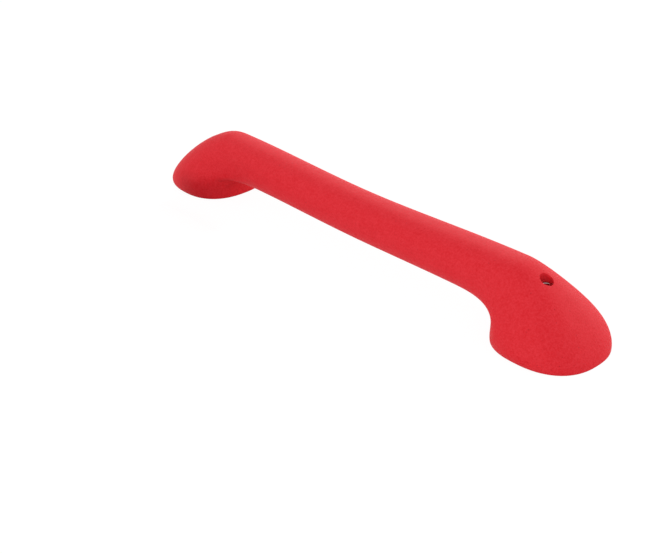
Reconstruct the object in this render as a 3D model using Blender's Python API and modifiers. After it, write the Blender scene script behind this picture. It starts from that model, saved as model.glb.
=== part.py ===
"""A bolt-on climbing hold: a cast polyurethane bar that runs between two flared feet.

Each foot has a counterbored bolt hole with a steel washer moulded into it, and a ribbed hollow
in its back. The backs of the feet lie in the wall plane, z = 0. The bar runs along X, +Z points
away from the wall, and the origin is in the wall plane at the middle of the hold.
"""

import math

import bmesh
import bpy
from mathutils import Matrix, Vector

# Driving dimensions, in metres
LENGTH = 0.700
FOOT_INNER = 0.2295  # from mid length to a foot's inner edge at the wall
FRONT_RUN = 0.2452  # from mid length to where the bar's front starts to fall to the foot
BACK_RUN = 0.1596  # from mid length to where the bar's back starts to bend to the foot
BAR_FRONT = 0.0823  # height of the bar's front above the wall, where it meets a foot
BAR_BACK = 0.0240  # height of the bar's back there, which is the finger gap
FOOT_HALF_WIDTH = 0.0566  # at the wall
BAR_HALF_WIDTH = 0.0296  # where the bar meets a foot
FRONT_DIP = 0.0058  # how much lower the bar's front is at mid length
BACK_DIP = 0.0027  # how much lower its back is there
WAIST = 0.0017  # how much narrower each of its sides is there

# Curves of a foot, as (x, z) from the wall to the bar: the first and last points are on the
# surface, and those between pull the curve towards them
FRONT_CURVE = (
    (LENGTH / 2, 0), (0.3477, 0.0150), (0.3132, 0.0623), (0.2645, BAR_FRONT), (FRONT_RUN, BAR_FRONT),
)
BACK_CURVE = (
    (FOOT_INNER, 0), (0.2343, 0.0286), (0.2394, 0.0311), (0.1912, BAR_BACK), (BACK_RUN, BAR_BACK),
)
WIDTH_CURVE = (FOOT_HALF_WIDTH, 0.0708, 0.0398, BAR_HALF_WIDTH, BAR_HALF_WIDTH)  # half widths

# Roundness of the sections: 2 is an ellipse, and more is squarer
FOOT_POWER = 2.4
SHOULDER_POWER = 0.2  # how much squarer their outer side gets halfway up a foot
BAR_POWER = 2.27
FOOT_WIDEST = 0.47  # share of a foot's section at which it is widest, from its inner edge

# Bolt hole of each foot, for a 3/8 inch socket cap bolt, and its moulded-in washer
BOLT_X = 0.2786
BOLT_HOLE_RADIUS = 0.0055
BOLT_HEAD_RADIUS = 0.00715
COUNTERBORE_RADIUS = 0.0074
WASHER_TOP = 0.0642
WASHER_RADIUS = 0.009
WASHER_HOLE_RADIUS = 0.00525
WASHER_THICKNESS = 0.0016
WASHER_EDGE = 0.0003
WASHER_ROLL = 0.00015  # how far its rim rolls over, outside the bolt's head
CLEARANCE = 0.0003  # between the washer and the plastic round it

# Hollow back of each foot
WALL = 0.011
HOLLOW_ROOF_INSET = 0.007
BOSS_RADIUS = 0.018
RIB_THICKNESS = 0.009

# Facets
RING_POINTS = 44
FOOT_RINGS = 16
BAR_RINGS = 6
HOLLOW_RINGS = 6  # how many of the foot's rings the hollow follows
TURNED_STEPS = 36
CUTTER_OVERRUN = 0.015  # how far a cutter runs out past what it cuts

PLASTIC = ("cast_polyurethane", (0.84, 0.045, 0.05), 0.62, 0.0)
STEEL = ("washer_steel", (0.62, 0.62, 0.63), 0.32, 1.0)


def clear_scene():
    for old in list(bpy.data.objects):
        bpy.data.objects.remove(old, do_unlink=True)


def new_collection(name, cutters=False):
    collection = bpy.data.collections.new(name)
    bpy.context.scene.collection.children.link(collection)
    collection.hide_render = cutters
    return collection


def material(name, colour, roughness, metallic):
    made = bpy.data.materials.new(name)
    made.use_nodes = True
    shader = made.node_tree.nodes["Principled BSDF"]
    shader.inputs["Base Color"].default_value = (*colour, 1)
    shader.inputs["Roughness"].default_value = roughness
    shader.inputs["Metallic"].default_value = metallic
    made.diffuse_color = (*colour, 1)
    return made


def new_object(name, bm, collection):
    mesh = bpy.data.meshes.new(name)
    bm.to_mesh(mesh)
    bm.free()
    made = bpy.data.objects.new(name, mesh)
    collection.objects.link(made)
    return made


def hide_cutter(cutter):
    cutter.hide_render = True
    cutter.display_type = "WIRE"


def cut(target, cutter):
    modifier = target.modifiers.new(cutter.name, "BOOLEAN")
    modifier.object = cutter
    modifier.operation = "DIFFERENCE"
    modifier.solver = "EXACT"


def shade(made, angle=40):
    made.data.shade_smooth()
    made.data.set_sharp_from_angle(angle=math.radians(angle))


def mix(start, end, share):
    return start + (end - start) * share


def ease(share):
    """From 0 to 1 with a level start and end."""
    return share * share * (3 - 2 * share)


def along_curve(knots, share):
    """The value or point on a Bezier curve at a share of its way, by de Casteljau's rule."""
    while len(knots) > 1:
        knots = [mix(start, end, share) for start, end in zip(knots, knots[1:])]
    return knots[0]


def foot_section(share):
    """A section of a foot, as ring takes it: share is 0 at the wall and 1 where it meets the bar."""
    blend = ease(share)
    power = mix(FOOT_POWER, BAR_POWER, blend)
    return (
        along_curve([Vector((x, 0, z)) for x, z in FRONT_CURVE], share),
        along_curve([Vector((x, 0, z)) for x, z in BACK_CURVE], share),
        along_curve(WIDTH_CURVE, share),
        (power + SHOULDER_POWER * 4 * share * (1 - share), power),
        mix(FOOT_WIDEST, 0.5, blend),
    )


def bar_section(share):
    """The same for the bar: share is 0 where it meets the foot and 1 at mid length."""
    blend = ease(share)
    return (
        Vector((FRONT_RUN * (1 - share), 0, BAR_FRONT - FRONT_DIP * blend)),
        Vector((BACK_RUN * (1 - share), 0, BAR_BACK - BACK_DIP * blend)),
        BAR_HALF_WIDTH - WAIST * blend,
        (BAR_POWER, BAR_POWER),
        0.5,
    )


def half_sections():
    """All sections of one half, from the foot's base to mid length."""
    foot = [foot_section(step / FOOT_RINGS) for step in range(FOOT_RINGS + 1)]
    bar = [bar_section(step / BAR_RINGS) for step in range(1, BAR_RINGS + 1)]
    return foot + bar


def ring(front, back, half_width, powers, widest, inset=0.0):
    """The points of one section, a ring between the front and the back curve, with a power for each side."""
    inward = (back - front).normalized() * inset
    front, back = front + inward, back - inward
    half_width -= inset
    centre = back.lerp(front, widest)
    points = []
    for step in range(RING_POINTS):
        turn = math.tau * step / RING_POINTS
        cosine, sine = math.cos(turn), math.sin(turn)
        reach = front - centre if cosine > 0 else centre - back
        power = powers[0] if cosine > 0 else powers[1]
        along = math.copysign(abs(cosine) ** (2 / power), cosine)
        across = math.copysign(abs(sine) ** (2 / power), sine)
        points.append(centre + reach * along + Vector((0, half_width * across, 0)))
    return points


def loft(rings, cap_start, cap_end):
    """A skin through rings that have the same number of points."""
    bm = bmesh.new()
    rows = [[bm.verts.new(point) for point in points] for points in rings]
    for row, following in zip(rows, rows[1:]):
        for step in range(len(row)):
            near = (step + 1) % len(row)
            bm.faces.new((row[step], row[near], following[near], following[step]))
    if cap_start:
        bm.faces.new(rows[0])
    if cap_end:
        bm.faces.new(rows[-1])
    bmesh.ops.recalc_face_normals(bm, faces=bm.faces)
    return bm


def turned(name, profile, x, collection):
    """A profile of (radius, height) turned about the upright line at x."""
    bm = bmesh.new()
    points = [bm.verts.new((radius, 0, height)) for radius, height in profile]
    closed = profile[0][0] > 0 and profile[-1][0] > 0
    pairs = list(zip(points, points[1:]))
    if closed:
        pairs.append((points[-1], points[0]))
    for pair in pairs:
        bm.edges.new(pair)
    made = new_object(name, bm, collection)
    made.location.x = x
    screw = made.modifiers.new("turn", "SCREW")
    screw.steps = TURNED_STEPS
    screw.render_steps = TURNED_STEPS
    screw.use_merge_vertices = True
    screw.merge_threshold = 0.00001
    return made


def block(name, size, place, collection):
    bm = bmesh.new()
    bmesh.ops.create_cube(bm, size=1, matrix=Matrix.Translation(place) @ Matrix.Diagonal((*size, 1)))
    return new_object(name, bm, collection)


def make_body(collection):
    """The bar and both feet in one casting: half of it, mirrored at mid length."""
    rings = [ring(*section) for section in half_sections()]
    body = new_object("hold_body", loft(rings, cap_start=True, cap_end=False), collection)
    mirror = body.modifiers.new("other half", "MIRROR")
    mirror.merge_threshold = 0.00001
    return body


def hole_cutter(name, x, collection):
    """The bolt hole, the washer's seat and the counterbore, as one turned shape."""
    top = BAR_FRONT + CUTTER_OVERRUN
    seat_top = WASHER_TOP + CLEARANCE
    seat_bottom = WASHER_TOP - WASHER_THICKNESS - CLEARANCE
    seat_radius = WASHER_RADIUS + CLEARANCE
    cutter = turned(name, [
        (0, top),
        (COUNTERBORE_RADIUS, top),
        (COUNTERBORE_RADIUS, seat_top),
        (seat_radius, seat_top),
        (seat_radius, seat_bottom),
        (BOLT_HOLE_RADIUS, seat_bottom),
        (BOLT_HOLE_RADIUS, -CUTTER_OVERRUN),
        (0, -CUTTER_OVERRUN),
    ], x, collection)
    hide_cutter(cutter)
    return cutter


def hollow_cutter(name, side, collection):
    """The hollow back of one foot, an inset copy of the foot with its boss and ribs left standing."""
    sections = half_sections()
    rings = [ring(*section, inset=WALL) for section in sections[:HOLLOW_RINGS]]
    below = [Vector((point.x, point.y, -CUTTER_OVERRUN)) for point in rings[0]]
    roof = ring(*sections[HOLLOW_RINGS], inset=WALL + HOLLOW_ROOF_INSET)
    bm = loft([below, *rings, roof], cap_start=True, cap_end=True)
    bmesh.ops.scale(bm, vec=(side, 1, 1), verts=bm.verts)
    bmesh.ops.recalc_face_normals(bm, faces=bm.faces)
    hollow = new_object(name, bm, collection)

    place = Vector((side * BOLT_X, 0, 0))
    tall = 2 * BAR_FRONT
    boss = bmesh.new()
    bmesh.ops.create_cone(boss, cap_ends=True, segments=TURNED_STEPS, radius1=BOSS_RADIUS,
                          radius2=BOSS_RADIUS, depth=tall, matrix=Matrix.Translation(place))
    boss = new_object(f"{name}_boss", boss, collection)
    long_rib = block(f"{name}_long_rib", (LENGTH / 2, RIB_THICKNESS, tall), place, collection)
    cross_rib = block(f"{name}_cross_rib", (RIB_THICKNESS, LENGTH / 2, tall), place, collection)
    for kept in (boss, long_rib, cross_rib):
        cut(hollow, kept)
        hide_cutter(kept)
    hide_cutter(hollow)
    return hollow


def make_washer(name, x, collection):
    """A stamped washer: a ring with broken edges, flat under the bolt's head and rolled over outside it."""
    bottom = WASHER_TOP - WASHER_THICKNESS
    edge = WASHER_EDGE
    rim = WASHER_TOP - WASHER_ROLL
    return turned(name, [
        (WASHER_RADIUS - edge, rim),
        (WASHER_RADIUS, rim - edge),
        (WASHER_RADIUS, bottom + edge),
        (WASHER_RADIUS - edge, bottom),
        (WASHER_HOLE_RADIUS + edge, bottom),
        (WASHER_HOLE_RADIUS, bottom + edge),
        (WASHER_HOLE_RADIUS, WASHER_TOP - edge),
        (WASHER_HOLE_RADIUS + edge, WASHER_TOP),
        (BOLT_HEAD_RADIUS, WASHER_TOP),
    ], x, collection)


def main():
    clear_scene()
    hold = new_collection("climbing_hold")
    cutters = new_collection("cutters", cutters=True)
    plastic = material(*PLASTIC)
    steel = material(*STEEL)

    body = make_body(hold)
    body.data.materials.append(plastic)
    for name, side in (("right", 1), ("left", -1)):
        cut(body, hollow_cutter(f"{name}_hollow", side, cutters))
        cut(body, hole_cutter(f"{name}_hole", side * BOLT_X, cutters))
        washer = make_washer(f"{name}_washer", side * BOLT_X, hold)
        washer.data.materials.append(steel)
        shade(washer)
    shade(body)


main()
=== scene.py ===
# %% [markdown]
# # A climbing hold, dressed for its picture
#
# The object is a bar hold: one casting of red polyurethane, with a round bar that stands off the
# wall on two flared feet. Each foot has a counterbored hole with a steel washer at its bottom.
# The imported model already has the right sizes, so this script never moves it. It makes a finer
# skin in the same place, rounds what a mould would round, and gives each surface its finish.

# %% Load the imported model
import math

import bmesh
import bpy
from mathutils import Matrix, Vector
from mathutils.bvhtree import BVHTree


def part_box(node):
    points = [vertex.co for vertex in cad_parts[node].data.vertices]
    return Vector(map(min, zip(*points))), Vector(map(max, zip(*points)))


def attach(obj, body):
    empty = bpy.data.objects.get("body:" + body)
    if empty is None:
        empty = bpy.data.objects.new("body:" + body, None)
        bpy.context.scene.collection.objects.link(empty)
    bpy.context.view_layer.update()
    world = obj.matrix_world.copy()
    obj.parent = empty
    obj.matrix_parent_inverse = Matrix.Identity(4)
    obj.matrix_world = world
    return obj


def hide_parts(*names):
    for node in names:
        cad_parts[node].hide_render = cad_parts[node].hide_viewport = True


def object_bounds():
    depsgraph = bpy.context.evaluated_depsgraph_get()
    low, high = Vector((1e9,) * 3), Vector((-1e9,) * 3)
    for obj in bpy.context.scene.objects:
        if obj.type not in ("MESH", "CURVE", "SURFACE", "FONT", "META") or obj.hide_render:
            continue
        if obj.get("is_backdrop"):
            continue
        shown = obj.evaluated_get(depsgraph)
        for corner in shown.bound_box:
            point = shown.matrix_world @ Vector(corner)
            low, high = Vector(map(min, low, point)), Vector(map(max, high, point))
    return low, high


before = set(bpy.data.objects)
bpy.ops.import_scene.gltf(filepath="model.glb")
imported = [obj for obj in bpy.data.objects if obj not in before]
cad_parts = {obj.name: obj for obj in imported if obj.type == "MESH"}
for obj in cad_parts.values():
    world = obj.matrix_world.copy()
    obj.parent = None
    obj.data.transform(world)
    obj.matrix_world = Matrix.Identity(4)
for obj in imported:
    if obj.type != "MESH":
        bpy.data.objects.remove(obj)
cad_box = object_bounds()


def in_mm(box):
    return [[round(1000 * value, 1) for value in corner] for corner in box]


print("nodes:", sorted(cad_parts))
print("box in mm:", in_mm(cad_box))

# %% [markdown]
# ## Sizes
#
# Whatever the model's own boxes can tell is read from them. The rest are the hold's driving
# dimensions, in metres: where its front and back curves start and end, and how they lean.

# %% Sizes that the boxes tell
body_low, body_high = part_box("hold_body")
washer_low, washer_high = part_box("right_washer")

LENGTH = body_high.x - body_low.x
BAR_FRONT = body_high.z
BOLT_X = (washer_low.x + washer_high.x) / 2
WASHER_TOP = washer_high.z
WASHER_BOTTOM = washer_low.z
WASHER_RADIUS = (washer_high.x - washer_low.x) / 2
print(f"length {1000 * LENGTH:.0f} mm, bolt holes {2000 * BOLT_X:.0f} mm apart")

# %% Bar and feet
FOOT_INNER = 0.2295
FRONT_RUN = 0.2452
BACK_RUN = 0.1596
BAR_BACK = 0.0240
FOOT_HALF_WIDTH = 0.0566
BAR_HALF_WIDTH = 0.0296
FRONT_DIP = 0.0058
BACK_DIP = 0.0027
WAIST = 0.0017
print(f"bar {1000 * (BAR_FRONT - BAR_BACK):.0f} mm thick, {2000 * BAR_HALF_WIDTH:.0f} mm wide")

# %% [markdown]
# The knots below are places, as (x, z), from a foot's base to the start of the bar. Each list is
# one Bezier curve, which starts at its first knot, ends at its last and is drawn towards those
# between. A power says how square a section is: 2 makes an ellipse, more makes it squarer.

# %% Curves of a foot
FRONT_KNOTS = [
    (LENGTH / 2, 0),
    (0.3477, 0.0150),
    (0.3132, 0.0623),
    (0.2645, BAR_FRONT),
    (FRONT_RUN, BAR_FRONT),
]
BACK_KNOTS = [
    (FOOT_INNER, 0),
    (0.2343, 0.0286),
    (0.2394, 0.0311),
    (0.1912, BAR_BACK),
    (BACK_RUN, BAR_BACK),
]
WIDTH_KNOTS = [FOOT_HALF_WIDTH, 0.0708, 0.0398, BAR_HALF_WIDTH, BAR_HALF_WIDTH]

FOOT_POWER = 2.4
SHOULDER_POWER = 0.2
BAR_POWER = 2.27
FOOT_WIDEST = 0.47

# %% Holes
COUNTERBORE_RADIUS = 0.0074
BOLT_HOLE_RADIUS = 0.0055
WASHER_HOLE_RADIUS = 0.00525
CLEARANCE = 0.0003
SEAT_TOP = WASHER_TOP + CLEARANCE
SEAT_BOTTOM = WASHER_BOTTOM - CLEARANCE
SEAT_RADIUS = WASHER_RADIUS + CLEARANCE
print(f"washer seat {1000 * SEAT_BOTTOM:.1f} to {1000 * SEAT_TOP:.1f} mm above the wall")

# %% [markdown]
# ## The camera
#
# The photograph was taken from close by, above the hold's right-hand end. The camera is placed
# by the two angles it looks along, the point in the wall plane that it looks at and how far off
# it stands, and is held a little tilted. A 60 mm lens on a 36 mm sensor gives the same strength
# of perspective.

# %% Camera
CAMERA_AZIMUTH = math.radians(49.08)
CAMERA_ELEVATION = math.radians(29.3)
CAMERA_ROLL = math.radians(-1.66)
CAMERA_DISTANCE = 1.2845
CAMERA_TARGET = Vector((0.0265, -0.0693, 0))
CAMERA_LENS = 59.79
CAMERA_SENSOR = 36
CAMERA_NEAREST = 0.01


def aim(thing, place, target, roll=0.0):
    """Puts a camera or a lamp at a place, looking at a target."""
    turn = (target - place).to_track_quat("-Z", "Y").to_matrix().to_4x4()
    thing.matrix_world = Matrix.Translation(place) @ turn @ Matrix.Rotation(roll, 4, "Z")


camera = bpy.data.objects.new("camera", bpy.data.cameras.new("camera"))
bpy.context.scene.collection.objects.link(camera)
camera.data.sensor_width = CAMERA_SENSOR
camera.data.lens = CAMERA_LENS
camera.data.clip_start = CAMERA_NEAREST
towards_camera = Vector((
    math.sin(CAMERA_AZIMUTH) * math.cos(CAMERA_ELEVATION),
    -math.cos(CAMERA_AZIMUTH) * math.cos(CAMERA_ELEVATION),
    math.sin(CAMERA_ELEVATION),
))
aim(camera, CAMERA_TARGET + CAMERA_DISTANCE * towards_camera, CAMERA_TARGET, CAMERA_ROLL)
bpy.context.scene.camera = camera
bpy.context.scene.view_settings.view_transform = "Standard"
print("camera at", [round(value, 3) for value in camera.matrix_world.translation])

# %% [markdown]
# ## Floor and background
#
# The picture is a cut-out on white. The floor has to stay white without pouring white light on
# the hold, so what the camera sees of it is mostly a plain white glow, mixed with a little real
# shading, which keeps a very faint shadow. Everything else sees an ordinary pale floor.

# %% Helpers for materials and objects


def new_material(name):
    """A material with empty nodes, as (material, nodes, links)."""
    made = bpy.data.materials.new(name)
    made.use_nodes = True
    made.node_tree.nodes.clear()
    return made, made.node_tree.nodes, made.node_tree.links


def show_surface(nodes, links, shader):
    output = nodes.new("ShaderNodeOutputMaterial")
    links.new(shader.outputs[0], output.inputs["Surface"])


def add_math(nodes, links, operation, first, second):
    """One sum on two values, each a number or the output of another node."""
    made = nodes.new("ShaderNodeMath")
    made.operation = operation
    for socket, value in zip(made.inputs, (first, second)):
        if isinstance(value, float):
            socket.default_value = value
        else:
            links.new(value, socket)
    return made.outputs[0]


def new_object(name, bm):
    mesh = bpy.data.meshes.new(name)
    bm.to_mesh(mesh)
    bm.free()
    made = bpy.data.objects.new(name, mesh)
    bpy.context.scene.collection.objects.link(made)
    return made


# %% Floor
FLOOR_SIZE = 12
FLOOR_COLOUR = (0.80, 0.80, 0.80, 1)
FLOOR_GLOW = 0.90
GLOW_STRENGTH = 1.06


def seen_directly(nodes, links):
    """A value that is 1 for what the camera sees, also in a mirror or through glass."""
    path = nodes.new("ShaderNodeLightPath").outputs
    first = add_math(nodes, links, "MAXIMUM", path["Is Camera Ray"], path["Is Glossy Ray"])
    return add_math(nodes, links, "MAXIMUM", first, path["Is Transmission Ray"])


def floor_material():
    made, nodes, links = new_material("studio_floor")
    shaded = nodes.new("ShaderNodeBsdfDiffuse")
    shaded.inputs["Color"].default_value = FLOOR_COLOUR
    glow = nodes.new("ShaderNodeEmission")
    glow.inputs["Strength"].default_value = GLOW_STRENGTH
    glow_share = add_math(nodes, links, "MULTIPLY", seen_directly(nodes, links), FLOOR_GLOW)
    mixed = nodes.new("ShaderNodeMixShader")
    links.new(glow_share, mixed.inputs["Fac"])
    links.new(shaded.outputs[0], mixed.inputs[1])
    links.new(glow.outputs[0], mixed.inputs[2])
    show_surface(nodes, links, mixed)
    return made


bm = bmesh.new()
bmesh.ops.create_grid(bm, x_segments=1, y_segments=1, size=FLOOR_SIZE / 2)
floor = new_object("floor", bm)
floor.data.materials.append(floor_material())
floor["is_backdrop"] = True
print("floor:", floor.dimensions.x, "by", floor.dimensions.y, "m")

# %% Sky
SKY_LIGHT = 0.767

world = bpy.data.worlds.new("studio")
bpy.context.scene.world = world
world.use_nodes = True
sky_nodes, sky_links = world.node_tree.nodes, world.node_tree.links
sky = sky_nodes["Background"]
sky.inputs["Color"].default_value = (1, 1, 1, 1)
sky_strength = sky_nodes.new("ShaderNodeMapRange")
sky_strength.inputs["To Min"].default_value = SKY_LIGHT
sky_strength.inputs["To Max"].default_value = 1
sky_links.new(seen_directly(sky_nodes, sky_links), sky_strength.inputs["Value"])
sky_links.new(sky_strength.outputs[0], sky.inputs["Strength"])
print("sky:", len(sky_nodes), "nodes")

# %% [markdown]
# ## Lamps
#
# The white world gives most of the light, from all round. Three large soft boxes shape it, as in
# a product studio. One stands low in front and lights the sides that face us. Two stand behind
# and draw the pale line along the far edge, from foot to foot. Big lamps make soft shadows, which
# is why the picture looks so even.

# %% Lamps
LAMP_TARGET = Vector((0, 0, 0.03))


def soft_box(name, place, size, power):
    lamp = bpy.data.lights.new(name, "AREA")
    lamp.shape = "RECTANGLE"
    lamp.size, lamp.size_y = size
    lamp.energy = power
    box = bpy.data.objects.new(name, lamp)
    bpy.context.scene.collection.objects.link(box)
    aim(box, Vector(place), LAMP_TARGET)
    print(name, f"{(Vector(place) - LAMP_TARGET).length:.2f} m away, {power} W")


soft_box("front_low", (0.3, -1.8, 0.35), (1.4, 0.6), 5.5)
soft_box("back_right", (0.5, 1.6, 0.7), (1.4, 0.7), 10.2)
soft_box("back_left", (-0.9, 1.5, 0.8), (1.4, 0.7), 5.9)

# %% [markdown]
# In the photograph the far foot's lower side is darker than these lamps leave it. A low dark red
# card in front of it keeps some of the light off that side. It is marked as stage because it
# isn't part of the hold, though it is neither floor nor backdrop. The camera doesn't see the
# card, only the faint shade that it leaves on the floor.

# %% Flag
FLAG_COLOUR = (0.50, 0.02, 0.03, 1)
FLAG_MIDDLE = Vector((-0.225, -0.1, 0.0185))
FLAG_WIDTH = 0.12
FLAG_HEIGHT = 0.035


def flag_material():
    made, nodes, links = new_material("dark_red_card")
    shaded = nodes.new("ShaderNodeBsdfDiffuse")
    shaded.inputs["Color"].default_value = FLAG_COLOUR
    show_surface(nodes, links, shaded)
    return made


bm = bmesh.new()
upright = Matrix.Translation(FLAG_MIDDLE) @ Matrix.Rotation(math.radians(90), 4, "X")
bmesh.ops.create_grid(bm, x_segments=1, y_segments=1, size=0.5,
                      matrix=upright @ Matrix.Diagonal((FLAG_WIDTH, FLAG_HEIGHT, 1, 1)))
flag = new_object("flag", bm)
flag.data.materials.append(flag_material())
flag.visible_camera = False
flag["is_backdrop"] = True
print("flag corners in mm:", in_mm(vert.co for vert in flag.data.vertices))

# %% [markdown]
# ## The skin
#
# The bar and both feet are one smooth surface, with no line where one ends and the other
# starts. It could be a cage with Subdivision Surface, but then no number would say where the
# surface is. Here a flat grid is wrapped round the hold instead. One direction of the grid runs
# from foot to foot, the other goes once round, and each corner moves to the place that the
# hold's curves give it. Two curves, one along the front and one along the back, hold each ring
# between them. They lie flat on the wall at a foot's base and swing round until they run along
# the bar, so the rings turn with them.

# %% Curves
FRONT_CURVE = [Vector((x, 0, z)) for x, z in FRONT_KNOTS]
BACK_CURVE = [Vector((x, 0, z)) for x, z in BACK_KNOTS]


def mix(start, end, share):
    return start + (end - start) * share


def along_curve(knots, share):
    """The value or point on a Bezier curve at a share of its way, by de Casteljau's rule."""
    while len(knots) > 1:
        knots = [mix(start, end, share) for start, end in zip(knots, knots[1:])]
    return knots[0]


def ease(share):
    """From 0 to 1 with a level start and end."""
    return share * share * (3 - 2 * share)


print("half way up a foot's front:", in_mm([along_curve(FRONT_CURVE, 0.5)]))

# %% Rings of a foot and of the bar
FOOT_SHARE = 0.5


def foot_section(share):
    """One ring's measures in a foot. share is 0 at the base and 1 where the bar starts."""
    blend = ease(share)
    power = mix(FOOT_POWER, BAR_POWER, blend)
    return {
        "front": along_curve(FRONT_CURVE, share),
        "back": along_curve(BACK_CURVE, share),
        "half_width": along_curve(WIDTH_KNOTS, share),
        "front_power": power + SHOULDER_POWER * 4 * share * (1 - share),
        "back_power": power,
        "widest": mix(FOOT_WIDEST, 0.5, blend),
    }


def bar_section(share):
    """One ring's measures in the bar. share is 0 where the foot starts and 1 at mid length."""
    blend = ease(share)
    return {
        "front": Vector((FRONT_RUN * (1 - share), 0, BAR_FRONT - FRONT_DIP * blend)),
        "back": Vector((BACK_RUN * (1 - share), 0, BAR_BACK - BACK_DIP * blend)),
        "half_width": BAR_HALF_WIDTH - WAIST * blend,
        "front_power": BAR_POWER,
        "back_power": BAR_POWER,
        "widest": 0.5,
    }


def section(along):
    """One ring's measures. along is 0 at mid length and 1 at the base of the right foot."""
    if along > 1 - FOOT_SHARE:
        return foot_section((1 - along) / FOOT_SHARE)
    return bar_section(1 - along / (1 - FOOT_SHARE))


print(f"half width at mid length {1000 * section(0)['half_width']:.1f} mm")

# %% Points of a ring


def skin_point(ring, turn):
    """A point on one ring: a rounded shape between an ellipse and a rectangle."""
    cosine, sine = math.cos(turn), math.sin(turn)
    outer = cosine > 0
    centre = ring["back"].lerp(ring["front"], ring["widest"])
    reach = ring["front"] - centre if outer else centre - ring["back"]
    power = 2 / (ring["front_power"] if outer else ring["back_power"])
    along = math.copysign(abs(cosine) ** power, cosine)
    across = math.copysign(abs(sine) ** power, sine)
    return centre + reach * along + Vector((0, ring["half_width"] * across, 0))


print("front of the foot's base:", in_mm([skin_point(section(1), 0)]))

# %% Wrap a grid round the hold
SKIN_RINGS = 240
SKIN_POINTS = 128
SAME_PLACE = 0.000001
SAME_DIGITS = 6


def wrapped_skin():
    bm = bmesh.new()
    bmesh.ops.create_grid(bm, x_segments=SKIN_RINGS, y_segments=SKIN_POINTS, size=1)
    rings = {}
    for vert in bm.verts:
        along = round(vert.co.x, SAME_DIGITS)
        if along not in rings:
            rings[along] = section(abs(along))
        place = skin_point(rings[along], math.pi * (vert.co.y + 1))
        place.x = math.copysign(place.x, along)
        vert.co = place
    bmesh.ops.remove_doubles(bm, verts=bm.verts, dist=SAME_PLACE)
    bmesh.ops.holes_fill(bm, edges=[edge for edge in bm.edges if edge.is_boundary], sides=0)
    bmesh.ops.recalc_face_normals(bm, faces=bm.faces)
    return bm


def print_shell(name, bm):
    open_edges = sum(edge.is_boundary for edge in bm.edges)
    print(f"{name}: {len(bm.faces)} faces, {open_edges} open edges")


skin = wrapped_skin()
skin_tree = BVHTree.FromBMesh(skin)
print_shell("skin", skin)

# %% [markdown]
# ## The bolt holes' mouths
#
# Each hole goes straight in from the front, where the surface slopes, so its mouth is tilted
# and the rim is rounded where the mould's core met the casting. A Boolean would leave a ragged
# edge on such a fine skin. Instead the skin's faces round the hole are deleted, the gap is
# bridged to a true circle, and the circle is extruded ring by ring: over the rim, down the
# counterbore, out under the plastic where the washer's edge is buried, and in to the bolt hole.

# %% Rings that follow one another
MOUTH_POINTS = 72
UP = Vector((0, 0, 1))
IN_PLAN = Vector((1, 1, 0))


def place_ring(verts, centre, shape):
    """Moves a ring's corners to (radius, height), which shape gives for each one's direction."""
    for vert in verts:
        outward = (vert.co - centre) * IN_PLAN
        outward.normalize()
        radius, height = shape(outward)
        vert.co = centre + outward * radius
        vert.co.z = height


def edges_between(verts):
    ring = set(verts)
    return list({
        edge for vert in verts for edge in vert.link_edges if edge.other_vert(vert) in ring
    })


def first_ring(bm, centre, points, shape):
    start = Matrix.Translation(centre)
    made = bmesh.ops.create_circle(bm, segments=points, radius=1, matrix=start)
    place_ring(made["verts"], centre, shape)
    return made["verts"]


def next_ring(bm, verts, centre, shape):
    made = bmesh.ops.extrude_edge_only(bm, edges=edges_between(verts))["geom"]
    fresh = [item for item in made if isinstance(item, bmesh.types.BMVert)]
    place_ring(fresh, centre, shape)
    return fresh


# %% Shapes of a mouth's rings
RIM_ROUNDING = 0.0004


def skin_height(place):
    """How high the front of the skin is over a point of the wall plane."""
    return skin_tree.ray_cast(Vector((place.x, place.y, 2 * BAR_FRONT)), -UP)[0].z


def on_skin(centre, radius):
    return lambda outward: (radius, skin_height(centre + outward * radius))


def over_rim(centre, share):
    """A ring of the rounded rim: share is 0 on the skin and 1 on the counterbore's wall."""
    outside = COUNTERBORE_RADIUS + RIM_ROUNDING

    def shape(outward):
        start = skin_height(centre + outward * outside)
        corner = skin_height(centre + outward * COUNTERBORE_RADIUS)
        height = mix(mix(start, corner, share), mix(corner, corner - RIM_ROUNDING, share), share)
        return mix(outside, COUNTERBORE_RADIUS, 1 - (1 - share) ** 2), height

    return shape


def down_wall(centre, share):
    def shape(outward):
        top = skin_height(centre + outward * COUNTERBORE_RADIUS) - RIM_ROUNDING
        return COUNTERBORE_RADIUS, mix(top, SEAT_TOP, share)

    return shape


def level(radius, height):
    return lambda outward: (radius, height)


print(f"skin over the bolt {1000 * skin_height(Vector((BOLT_X, 0, 0))):.1f} mm above the wall")

# %% Open the mouths
CUT_BACK = 0.0125
BRIDGE_TO = 0.4
RIM_STEPS = 5
BORE_STEPS = 4


def in_the_way(face, centre):
    nearest = min(((vert.co - centre) * IN_PLAN).length for vert in face.verts)
    return face.normal.z > 0 and nearest < CUT_BACK


def mouth_shapes(centre):
    shapes = [over_rim(centre, step / RIM_STEPS) for step in range(RIM_STEPS + 1)]
    shapes += [down_wall(centre, step / BORE_STEPS) for step in range(1, BORE_STEPS + 1)]
    shapes += [level(SEAT_RADIUS, SEAT_TOP), level(SEAT_RADIUS, SEAT_BOTTOM)]
    shapes += [level(BOLT_HOLE_RADIUS, SEAT_BOTTOM)]
    return shapes


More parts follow.
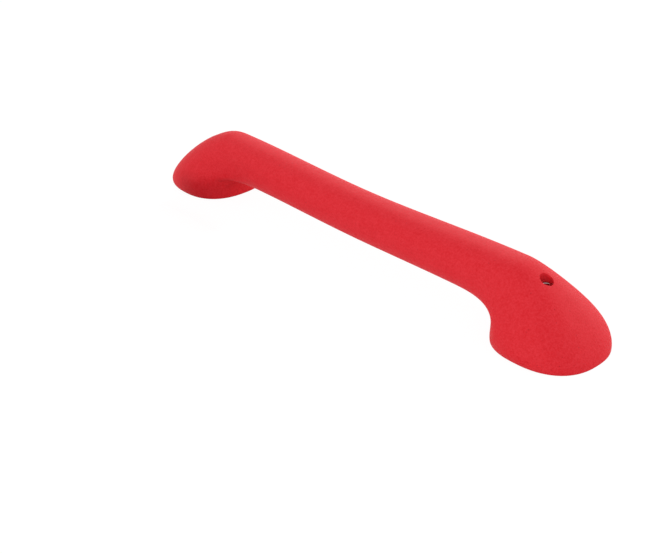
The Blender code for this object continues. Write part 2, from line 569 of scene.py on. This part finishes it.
def open_mouth(bm, side):
    centre = Vector((side * BOLT_X, 0, 0))
    front = [face for face in bm.faces if in_the_way(face, centre)]
    bmesh.ops.delete(bm, geom=front, context="FACES")
    gap = [vert for vert in bm.verts if vert.is_boundary]
    place_ring(gap, centre, on_skin(centre, CUT_BACK))
    start = on_skin(centre, mix(CUT_BACK, COUNTERBORE_RADIUS, BRIDGE_TO))
    ring = first_ring(bm, centre, MOUTH_POINTS, start)
    bmesh.ops.bridge_loops(bm, edges=edges_between(gap) + edges_between(ring))
    for shape in mouth_shapes(centre):
        ring = next_ring(bm, ring, centre, shape)
    bmesh.ops.contextual_create(bm, geom=edges_between(ring))


for side in (1, -1):
    open_mouth(skin, side)
bmesh.ops.recalc_face_normals(skin, faces=skin.faces)
print_shell("skin with mouths", skin)

# %% [markdown]
# ## The hollow backs
#
# The photograph doesn't show the backs. A foot this thick would be heavy and would sink as it
# cured, so its back is taken to be cored out, as large holds often are. A boss stays round the
# bolt hole and ribs cross it, which leaves four pockets with soft corners. Cubes with a Bevel
# would not follow the foot's outside. So each pocket is a stack of rings, and every point of a
# ring goes out from the pocket's middle until it would come too near the outside, a rib or the
# boss. Where two of these are equally near, the distances are blended, which rounds the corner.

# %% How far a pocket reaches
WALL = 0.011
LEAST_FACING = 0.6
NEARLY_LEVEL = 0.001
CORNER_SOFTNESS = 7
FAR = 1.0


def to_flat(outward, offset, distance):
    """How far it is to a flat face that lies distance away along offset."""
    closing = outward.dot(offset)
    return distance / closing if closing > NEARLY_LEVEL else FAR


def to_boss(start, outward, boss, radius):
    away = start - boss
    along = away.dot(outward)
    inside = along * along - away.length_squared + radius * radius
    return -along - math.sqrt(inside) if inside > 0 and along < 0 else FAR


def to_outside(start, outward):
    """How far it is to the inner side of the foot's wall, which is thicker where it slants."""
    place, normal, _, distance = skin_tree.ray_cast(start, outward)
    return distance - WALL / max(LEAST_FACING, outward.dot(normal))


def soft_least(values):
    return sum(value ** -CORNER_SOFTNESS for value in values) ** (-1 / CORNER_SOFTNESS)


print(f"between two faces 10 mm away a pocket reaches {1000 * soft_least([0.01, 0.01]):.1f} mm")

# %% A pocket's rings
RIB_THICKNESS = 0.009
BOSS_RADIUS = 0.018
DRAFT = math.tan(math.radians(1.2))
LOWEST_LOOK = 0.0005


def pocket_reach(centre, boss, height, drawn_in, upright):
    """The shape of one ring, drawn_in from the walls, which are upright above a height."""
    lean = DRAFT * height
    rib = RIB_THICKNESS / 2 + lean
    to_x_rib = boss.x - centre.x
    to_y_rib = boss.y - centre.y
    start = Vector((centre.x, centre.y, min(max(height, LOWEST_LOOK), upright)))

    def shape(outward):
        reach = soft_least([
            to_flat(outward, Vector((math.copysign(1, to_x_rib), 0, 0)), abs(to_x_rib) - rib),
            to_flat(outward, Vector((0, math.copysign(1, to_y_rib), 0)), abs(to_y_rib) - rib),
            to_boss(centre, outward, boss, BOSS_RADIUS + lean),
            to_outside(start, outward),
        ])
        return reach - drawn_in, height

    return shape


# %% Pocket cutters
POCKET_POINTS = 144
POCKET_MIDDLES = {1: (0.017, 0.020), -1: (-0.017, 0.021)}
POCKET_ROOFS = {1: 0.0345, -1: 0.0275}
POCKET_UPRIGHT = {1: 0.040, -1: 0.016}
ROOF_ROUNDING = 0.005
UPRIGHT_STEPS = 5
ROOF_STEPS = 5
CUT_PAST = 0.004


def pocket_levels(roof):
    """Each ring's height and how far it is drawn in: upright first, then round into the roof."""
    spring = roof - ROOF_ROUNDING
    levels = [(-CUT_PAST, 0), (0, 0)]
    levels += [(spring * step / UPRIGHT_STEPS, 0) for step in range(1, UPRIGHT_STEPS + 1)]
    for step in range(1, ROOF_STEPS + 1):
        turn = math.radians(90 / ROOF_STEPS * step)
        height = spring + ROOF_ROUNDING * math.sin(turn)
        levels.append((height, ROOF_ROUNDING * (1 - math.cos(turn))))
    return levels


def add_pocket(bm, side, outer, across):
    offset_x, offset_y = POCKET_MIDDLES[outer]
    boss = Vector((side * BOLT_X, 0, 0))
    centre = boss + Vector((side * offset_x, across * offset_y, 0))
    shapes = [
        pocket_reach(centre, boss, height, drawn_in, POCKET_UPRIGHT[outer])
        for height, drawn_in in pocket_levels(POCKET_ROOFS[outer])
    ]
    ring = first_ring(bm, centre, POCKET_POINTS, shapes[0])
    bmesh.ops.contextual_create(bm, geom=edges_between(ring))
    for shape in shapes[1:]:
        ring = next_ring(bm, ring, centre, shape)
    bmesh.ops.contextual_create(bm, geom=edges_between(ring))


def add_bolt_hole(bm, side):
    top = mix(SEAT_BOTTOM, SEAT_TOP, 0.5)
    middle = Matrix.Translation((side * BOLT_X, 0, (top - CUT_PAST) / 2))
    bmesh.ops.create_cone(bm, cap_ends=True, segments=MOUTH_POINTS, radius1=BOLT_HOLE_RADIUS,
                          radius2=BOLT_HOLE_RADIUS, depth=top + CUT_PAST, matrix=middle)


cutter_bm = bmesh.new()
for side in (1, -1):
    add_bolt_hole(cutter_bm, side)
    for outer in (1, -1):
        for across in (1, -1):
            add_pocket(cutter_bm, side, outer, across)
bmesh.ops.recalc_face_normals(cutter_bm, faces=cutter_bm.faces)
print_shell("cutter", cutter_bm)

# %% [markdown]
# The cutter goes through the closed skin with an exact Boolean. No face of the one lies in a
# face of the other, and the result is closed again. Then the sharp edges in the wall plane are
# eased a little, as they are on a casting that has been sanded flat.

# %% Cut the backs


def keep_result(piece):
    """Swaps a piece's mesh for what its modifiers make of it."""
    graph = bpy.context.evaluated_depsgraph_get()
    result = bpy.data.meshes.new_from_object(piece.evaluated_get(graph))
    piece.modifiers.clear()
    piece.data = result


hold = new_object("cast_hold", skin)
cutter = new_object("back_cutter", cutter_bm)
hollow = hold.modifiers.new("hollow back", "BOOLEAN")
hollow.object = cutter
hollow.operation = "DIFFERENCE"
hollow.solver = "EXACT"
keep_result(hold)
bpy.data.objects.remove(cutter, do_unlink=True)
print("cut hold:", len(hold.data.polygons), "faces")

# %% Ease the edges at the wall
WALL_EDGE = 0.0008
SHARP = math.radians(35)


def at_wall(vert):
    return abs(vert.co.z) < SAME_PLACE


def ease_wall_edges(mesh):
    bm = bmesh.new()
    bm.from_mesh(mesh)
    edges = [
        edge for edge in bm.edges
        if all(at_wall(vert) for vert in edge.verts) and edge.calc_face_angle(0) > SHARP
    ]
    bmesh.ops.bevel(bm, geom=edges, offset=WALL_EDGE, offset_type="OFFSET", segments=3,
                    profile=0.5, affect="EDGES", clamp_overlap=True, material=-1)
    for face in bm.faces:
        flat_back = all(at_wall(vert) for vert in face.verts)
        for edge in face.edges if flat_back else ():
            edge.smooth = False
    bm.to_mesh(mesh)
    bm.free()


ease_wall_edges(hold.data)
hold.data.shade_smooth()
hold.data.set_sharp_from_angle(angle=SHARP)
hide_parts("hold_body")
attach(hold, "root")
hold.data.calc_loop_triangles()
print("cast hold:", len(hold.data.loop_triangles), "triangles")

# %% [markdown]
# ## Cast polyurethane
#
# Holds are cast in moulds taken from foam that was carved and sanded, so the skin is matte,
# with a grain like fine sandpaper. A few air bubbles leave tiny pores. They are bumped in, and
# their darker red is painted shade in the pits. The grain is far too fine to model, so it is
# bump: a noise about half a millimetre across, on a softer one of about two millimetres. All of
# it reads Object coordinates, which are metres here, so a scale of 1000 is one millimetre.

# %% Noise and ranges


def add_noise(nodes, links, place, size, detail, roughness=0.5):
    """Noise whose lumps are about size metres across."""
    noise = nodes.new("ShaderNodeTexNoise")
    noise.inputs["Scale"].default_value = 1 / size
    noise.inputs["Detail"].default_value = detail
    noise.inputs["Roughness"].default_value = roughness
    links.new(place, noise.inputs["Vector"])
    return noise.outputs["Fac"]


def add_range(nodes, links, value, start, end, low, high):
    """Maps a value from start..end to low..high, and stops there."""
    ranged = nodes.new("ShaderNodeMapRange")
    ranged.inputs["From Min"].default_value = start
    ranged.inputs["From Max"].default_value = end
    ranged.inputs["To Min"].default_value = low
    ranged.inputs["To Max"].default_value = high
    links.new(value, ranged.inputs["Value"])
    return ranged.outputs[0]


def add_bump(nodes, links, shader, height, strength, distance):
    bump = nodes.new("ShaderNodeBump")
    bump.inputs["Strength"].default_value = strength
    bump.inputs["Distance"].default_value = distance
    links.new(height, bump.inputs["Height"])
    links.new(bump.outputs["Normal"], shader.inputs["Normal"])


# %% Pores
PORE_SPACING = 0.011
PORE_RADIUS = 0.0008
PORES_KEPT = 0.35
PINHOLE_SPACING = 0.0042
PINHOLE_RADIUS = 0.0004
PINHOLES_KEPT = 0.45
PORE_FLOOR = 0.4


def add_pores(nodes, links, place, spacing, radius, kept):
    """1 inside small round pores: only a share of the pattern's cells keep their pore."""
    cells = nodes.new("ShaderNodeTexVoronoi")
    cells.inputs["Scale"].default_value = 1 / spacing
    links.new(place, cells.inputs["Vector"])
    inside = add_range(nodes, links, cells.outputs["Distance"],
                       radius / spacing, PORE_FLOOR * radius / spacing, 0, 1)
    split = nodes.new("ShaderNodeSeparateColor")
    links.new(cells.outputs["Color"], split.inputs["Color"])
    chosen = add_math(nodes, links, "LESS_THAN", split.outputs["Red"], kept)
    return add_math(nodes, links, "MULTIPLY", inside, chosen)


def all_pores(nodes, links, place):
    pores = add_pores(nodes, links, place, PORE_SPACING, PORE_RADIUS, PORES_KEPT)
    pinholes = add_pores(nodes, links, place, PINHOLE_SPACING, PINHOLE_RADIUS, PINHOLES_KEPT)
    return add_math(nodes, links, "MAXIMUM", pores, pinholes)


# %% Red of the casting
RED = (0.844, 0.0324, 0.0468)
RED_DEEP = (0.736, 0.0081, 0.0164)
# Painted shade: the pores are drawn in this darker red, for the shade inside the pits.
RED_OF_PAINTED_PORE_SHADE = (0.42, 0.008, 0.014)
MOTTLE_SIZE = 0.012
MOTTLE_SHARE = 0.25
SPECKLE_SIZE = 0.0022
PAINTED_PORE_SHADE_SHARE = 0.65


def add_tint(nodes, links, share, first, second):
    """Blends from the first colour, which may be another node's, to the second."""
    tint = nodes.new("ShaderNodeMix")
    tint.data_type = "RGBA"
    if isinstance(first, tuple):
        tint.inputs["A"].default_value = (*first, 1)
    else:
        links.new(first, tint.inputs["A"])
    tint.inputs["B"].default_value = (*second, 1)
    links.new(share, tint.inputs["Factor"])
    return tint.outputs["Result"]


def casting_colour(nodes, links, place, speckle, pores):
    mottle = add_noise(nodes, links, place, MOTTLE_SIZE, 4.0, 0.6)
    broad = add_range(nodes, links, mottle, 0.3, 0.7, 0.0, 1.0)
    broad = add_math(nodes, links, "MULTIPLY", broad, MOTTLE_SHARE)
    fine = add_range(nodes, links, speckle, 0.35, 0.65, 0.0, 1 - MOTTLE_SHARE)
    share = add_math(nodes, links, "ADD", broad, fine)
    red = add_tint(nodes, links, share, RED_DEEP, RED)
    # Painted shade: the colour is blended towards the darker red inside the pores.
    painted_pore_shade = add_math(nodes, links, "MULTIPLY", pores, PAINTED_PORE_SHADE_SHARE)
    return add_tint(nodes, links, painted_pore_shade, red, RED_OF_PAINTED_PORE_SHADE)


# %% Grain of the casting
GRAIN_SIZE = 0.0005
GRAIN_HEIGHT = 0.35
SAND_SIZE = 0.0018
PORE_DEPTH = 3.0
GRAIN_DISTANCE = 0.00022


def casting_height(nodes, links, place, pores):
    grain = add_noise(nodes, links, place, GRAIN_SIZE, 3.0, 0.6)
    sand = add_noise(nodes, links, place, SAND_SIZE, 3.0, 0.6)
    height = add_math(nodes, links, "MULTIPLY", grain, GRAIN_HEIGHT)
    height = add_math(nodes, links, "ADD", height, sand)
    depth = add_math(nodes, links, "MULTIPLY", pores, PORE_DEPTH)
    return add_math(nodes, links, "SUBTRACT", height, depth)


# %% Polyurethane
SHINE = 0.18


def polyurethane():
    made, nodes, links = new_material("cast_polyurethane")
    place = nodes.new("ShaderNodeTexCoord").outputs["Object"]
    shader = nodes.new("ShaderNodeBsdfPrincipled")
    speckle = add_noise(nodes, links, place, SPECKLE_SIZE, 3.0, 0.7)
    pores = all_pores(nodes, links, place)
    colour = casting_colour(nodes, links, place, speckle, pores)
    links.new(colour, shader.inputs["Base Color"])
    roughness = add_range(nodes, links, speckle, 0.25, 0.75, 0.52, 0.68)
    links.new(roughness, shader.inputs["Roughness"])
    shader.inputs["Specular IOR Level"].default_value = SHINE
    height = casting_height(nodes, links, place, pores)
    add_bump(nodes, links, shader, height, 1.0, GRAIN_DISTANCE)
    show_surface(nodes, links, shader)
    return made


hold.data.materials.clear()
hold.data.materials.append(polyurethane())
print("polyurethane:", len(hold.data.materials[0].node_tree.nodes), "nodes")

# %% [markdown]
# ## The washers
#
# Each washer is punched from sheet steel. Only a ring of it shows at the bottom of the
# counterbore. It is turned from a short profile with spin, and all its edges are rounded alike
# by half a millimetre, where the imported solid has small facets. The steel is taken to be plated
# and a little cloudy, so the light on it isn't quite even.

# %% Steel
STEEL = (0.62, 0.61, 0.60)
CLOUD_SIZE = 0.0018
SCRATCH_SIZE = 0.0004
SCRATCH_DISTANCE = 0.00002


def steel():
    made, nodes, links = new_material("plated_steel")
    place = nodes.new("ShaderNodeTexCoord").outputs["Object"]
    shader = nodes.new("ShaderNodeBsdfPrincipled")
    shader.inputs["Metallic"].default_value = 1
    shader.inputs["Base Color"].default_value = (*STEEL, 1)
    cloud = add_noise(nodes, links, place, CLOUD_SIZE, 4.0, 0.65)
    roughness = add_range(nodes, links, cloud, 0.3, 0.7, 0.07, 0.15)
    links.new(roughness, shader.inputs["Roughness"])
    scratches = add_noise(nodes, links, place, SCRATCH_SIZE, 3.0)
    add_bump(nodes, links, shader, scratches, 0.2, SCRATCH_DISTANCE)
    show_surface(nodes, links, shader)
    return made


plated_steel = steel()
print("plated steel:", len(plated_steel.node_tree.nodes), "nodes")

# %% Turn the washers
WASHER_POINTS = 96
WASHER_ROUNDING = 0.0005


def washer_profile(bm, centre, outer, low, high):
    corners = [(WASHER_HOLE_RADIUS, low), (outer, low), (outer, high), (WASHER_HOLE_RADIUS, high)]
    verts = [bm.verts.new((centre.x + radius, centre.y, height)) for radius, height in corners]
    for step in range(len(verts)):
        bm.edges.new((verts[step - 1], verts[step]))
    bmesh.ops.bevel(bm, geom=verts, offset=WASHER_ROUNDING, offset_type="OFFSET", segments=4,
                    profile=0.5, affect="VERTICES", material=-1)


def turned_washer(name, node):
    low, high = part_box(node)
    centre = (low + high) / 2
    bm = bmesh.new()
    washer_profile(bm, centre, (high.x - low.x) / 2, low.z, high.z)
    bmesh.ops.spin(bm, geom=list(bm.verts) + list(bm.edges), cent=centre, axis=UP,
                   angle=math.tau, steps=WASHER_POINTS, use_merge=True)
    bmesh.ops.remove_doubles(bm, verts=bm.verts, dist=SAME_PLACE)
    bmesh.ops.recalc_face_normals(bm, faces=bm.faces)
    print_shell(name, bm)
    washer = new_object(name, bm)
    washer.data.shade_smooth()
    washer.data.set_sharp_from_angle(angle=SHARP)
    washer.data.materials.append(plated_steel)
    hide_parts(node)
    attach(washer, "root")


turned_washer("right_steel_washer", "right_washer")
turned_washer("left_steel_washer", "left_washer")

# %% [markdown]
# ## The size at the end
#
# The dressed hold has to stay inside the imported model's box, so both boxes are printed.

# %% Finish
visual_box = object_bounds()
print("visual box in mm:", in_mm(visual_box))
